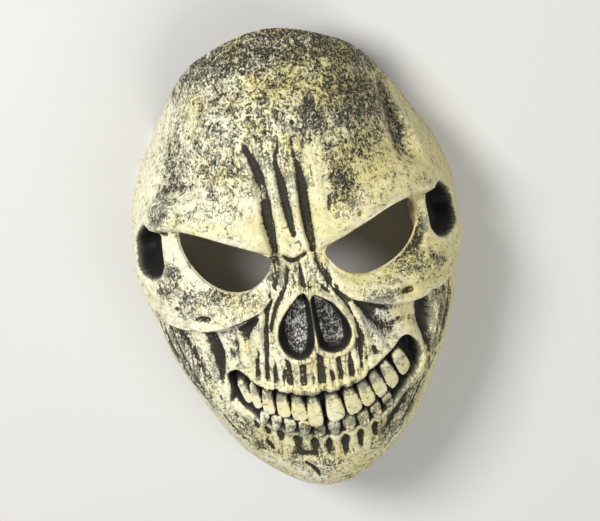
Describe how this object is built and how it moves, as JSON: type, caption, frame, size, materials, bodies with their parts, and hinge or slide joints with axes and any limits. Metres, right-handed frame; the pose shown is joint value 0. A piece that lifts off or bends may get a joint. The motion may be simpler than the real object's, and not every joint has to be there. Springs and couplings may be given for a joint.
{
  "type": "skull mask",
  "caption": "Moulded latex face mask in the form of a grinning skull, hollow, with open eye holes and a flat elastic.",
  "frame": {"origin": "middle of the bounding box on the floor that the rim rests on", "axes": "+X across the face, +Y up the face from chin to forehead, +Z forward out of the face and up from the floor"},
  "size_m": [0.1522, 0.2249, 0.0878],
  "materials": {
    "painted_latex": "satin bone yellow with a dark wash",
    "black_elastic": "matt woven elastic"
  },
  "bodies": {
    "root": {"mask_shell": "painted_latex", "head_elastic": "black_elastic"}
  },
  "joints": []
}
